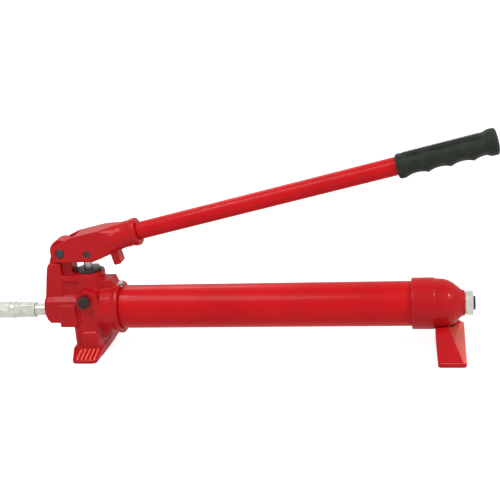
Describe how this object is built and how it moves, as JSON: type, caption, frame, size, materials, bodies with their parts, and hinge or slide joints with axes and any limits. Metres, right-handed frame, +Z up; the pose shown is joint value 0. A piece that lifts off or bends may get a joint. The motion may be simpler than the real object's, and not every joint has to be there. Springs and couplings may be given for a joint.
{
  "type": "hydraulic hand pump",
  "caption": "Hydraulic hand pump: cast body with lever-driven plunger, tube reservoir on two feet, release valve and a coiled hose with a coupler.",
  "frame": {"origin": "bottom centre of the pump's own box, on the surface it stands on, its free hose left out", "axes": "+X from the pump body along the reservoir to the rear cap and grip; +Y away from the release knob; +Z up"},
  "size_m": [1.0264, 0.1974, 0.2926],
  "materials": {
    "red_paint": "gloss red enamel over iron and steel",
    "zinc": "bright zinc plate, slightly frosted",
    "black_oxide": "black oxide steel, oily",
    "ground_steel": "ground and hard-chromed plunger",
    "steel": "plain steel",
    "grip_rubber": "moulded rubber, black with a green cast, fine ribs",
    "hose_rubber": "smooth black hose cover",
    "seal_rubber": "nitrile seal",
    "brass": "plain brass",
    "knob_plastic": "dark knob"
  },
  "bodies": {
    "pump": {"pump_body": "red_paint", "gland_nut": "black_oxide", "plunger_packing": "seal_rubber", "packing_washers": "brass", "outlet_spring": "steel", "relief_spring": "steel", "relief_plug": "black_oxide", "release_ball": "steel", "release_seal": "seal_rubber", "vent_washer": "seal_rubber", "reservoir_tube": "red_paint", "front_gasket": "seal_rubber", "rear_gasket": "seal_rubber", "rear_cap": "red_paint", "tie_rod": "black_oxide", "tie_rod_washer": "steel", "tie_rod_nut": "zinc", "suction_tube": "steel", "suction_filter": "brass", "rear_foot_plate": "red_paint", "rear_foot_bracket": "red_paint", "outlet_nipple": "zinc", "hose_nut": "zinc", "hose_ferrule": "zinc", "hose_lead": "hose_rubber", "hose_coil": "hose_rubber", "hose_tail": "hose_rubber", "far_ferrule": "zinc", "coupler_body": "zinc", "coupler_sleeve": "zinc"},
    "lever": {"lever_beam": "red_paint", "fulcrum_pin": "black_oxide", "plunger_pin": "black_oxide", "handle_tube": "red_paint", "handle_grip": "grip_rubber"},
    "plunger": {"plunger": "ground_steel"},
    "release_valve": {"release_screw": "steel", "release_knob": "knob_plastic"},
    "vent": {"vent_screw": "zinc"},
    "inlet_check": {"inlet_ball": "steel"},
    "outlet_check": {"outlet_ball": "steel"},
    "relief_check": {"relief_ball": "steel"}
  },
  "joints": [
    {"name": "handle", "type": "hinge", "parent": "pump", "child": "lever", "pos_m": [-0.22921, 0, 0.1468], "axis": [0, -1, 0], "range_deg": [-16, 38]},
    {"name": "plunger_slide", "type": "slide", "parent": "pump", "child": "plunger", "axis": [0, 0, 1], "range_m": [-0.0108, 0.0256]},
    {"name": "release_turn", "type": "hinge", "parent": "pump", "child": "release_valve", "pos_m": [-0.19771, -0.035, 0.082], "axis": [0, -1, 0], "range_deg": [0, 270]},
    {"name": "vent_turn", "type": "hinge", "parent": "pump", "child": "vent", "pos_m": [-0.15521, 0, 0.095], "axis": [0, 0, 1], "range_deg": [0, 720]},
    {"name": "inlet_lift", "type": "slide", "parent": "pump", "child": "inlet_check", "axis": [0, 0, 1], "range_m": [0, 0.0015]},
    {"name": "outlet_lift", "type": "slide", "parent": "pump", "child": "outlet_check", "axis": [-1, 0, 0], "range_m": [0, 0.0015], "deforming": ["outlet_spring"]},
    {"name": "relief_lift", "type": "slide", "parent": "pump", "child": "relief_check", "axis": [0, 1, 0], "range_m": [0, 0.0008], "deforming": ["relief_spring"]}
  ],
  "couplings": [
    {"joint": "plunger_slide", "follows": "handle", "m_per_rad": 0.0366}
  ]
}
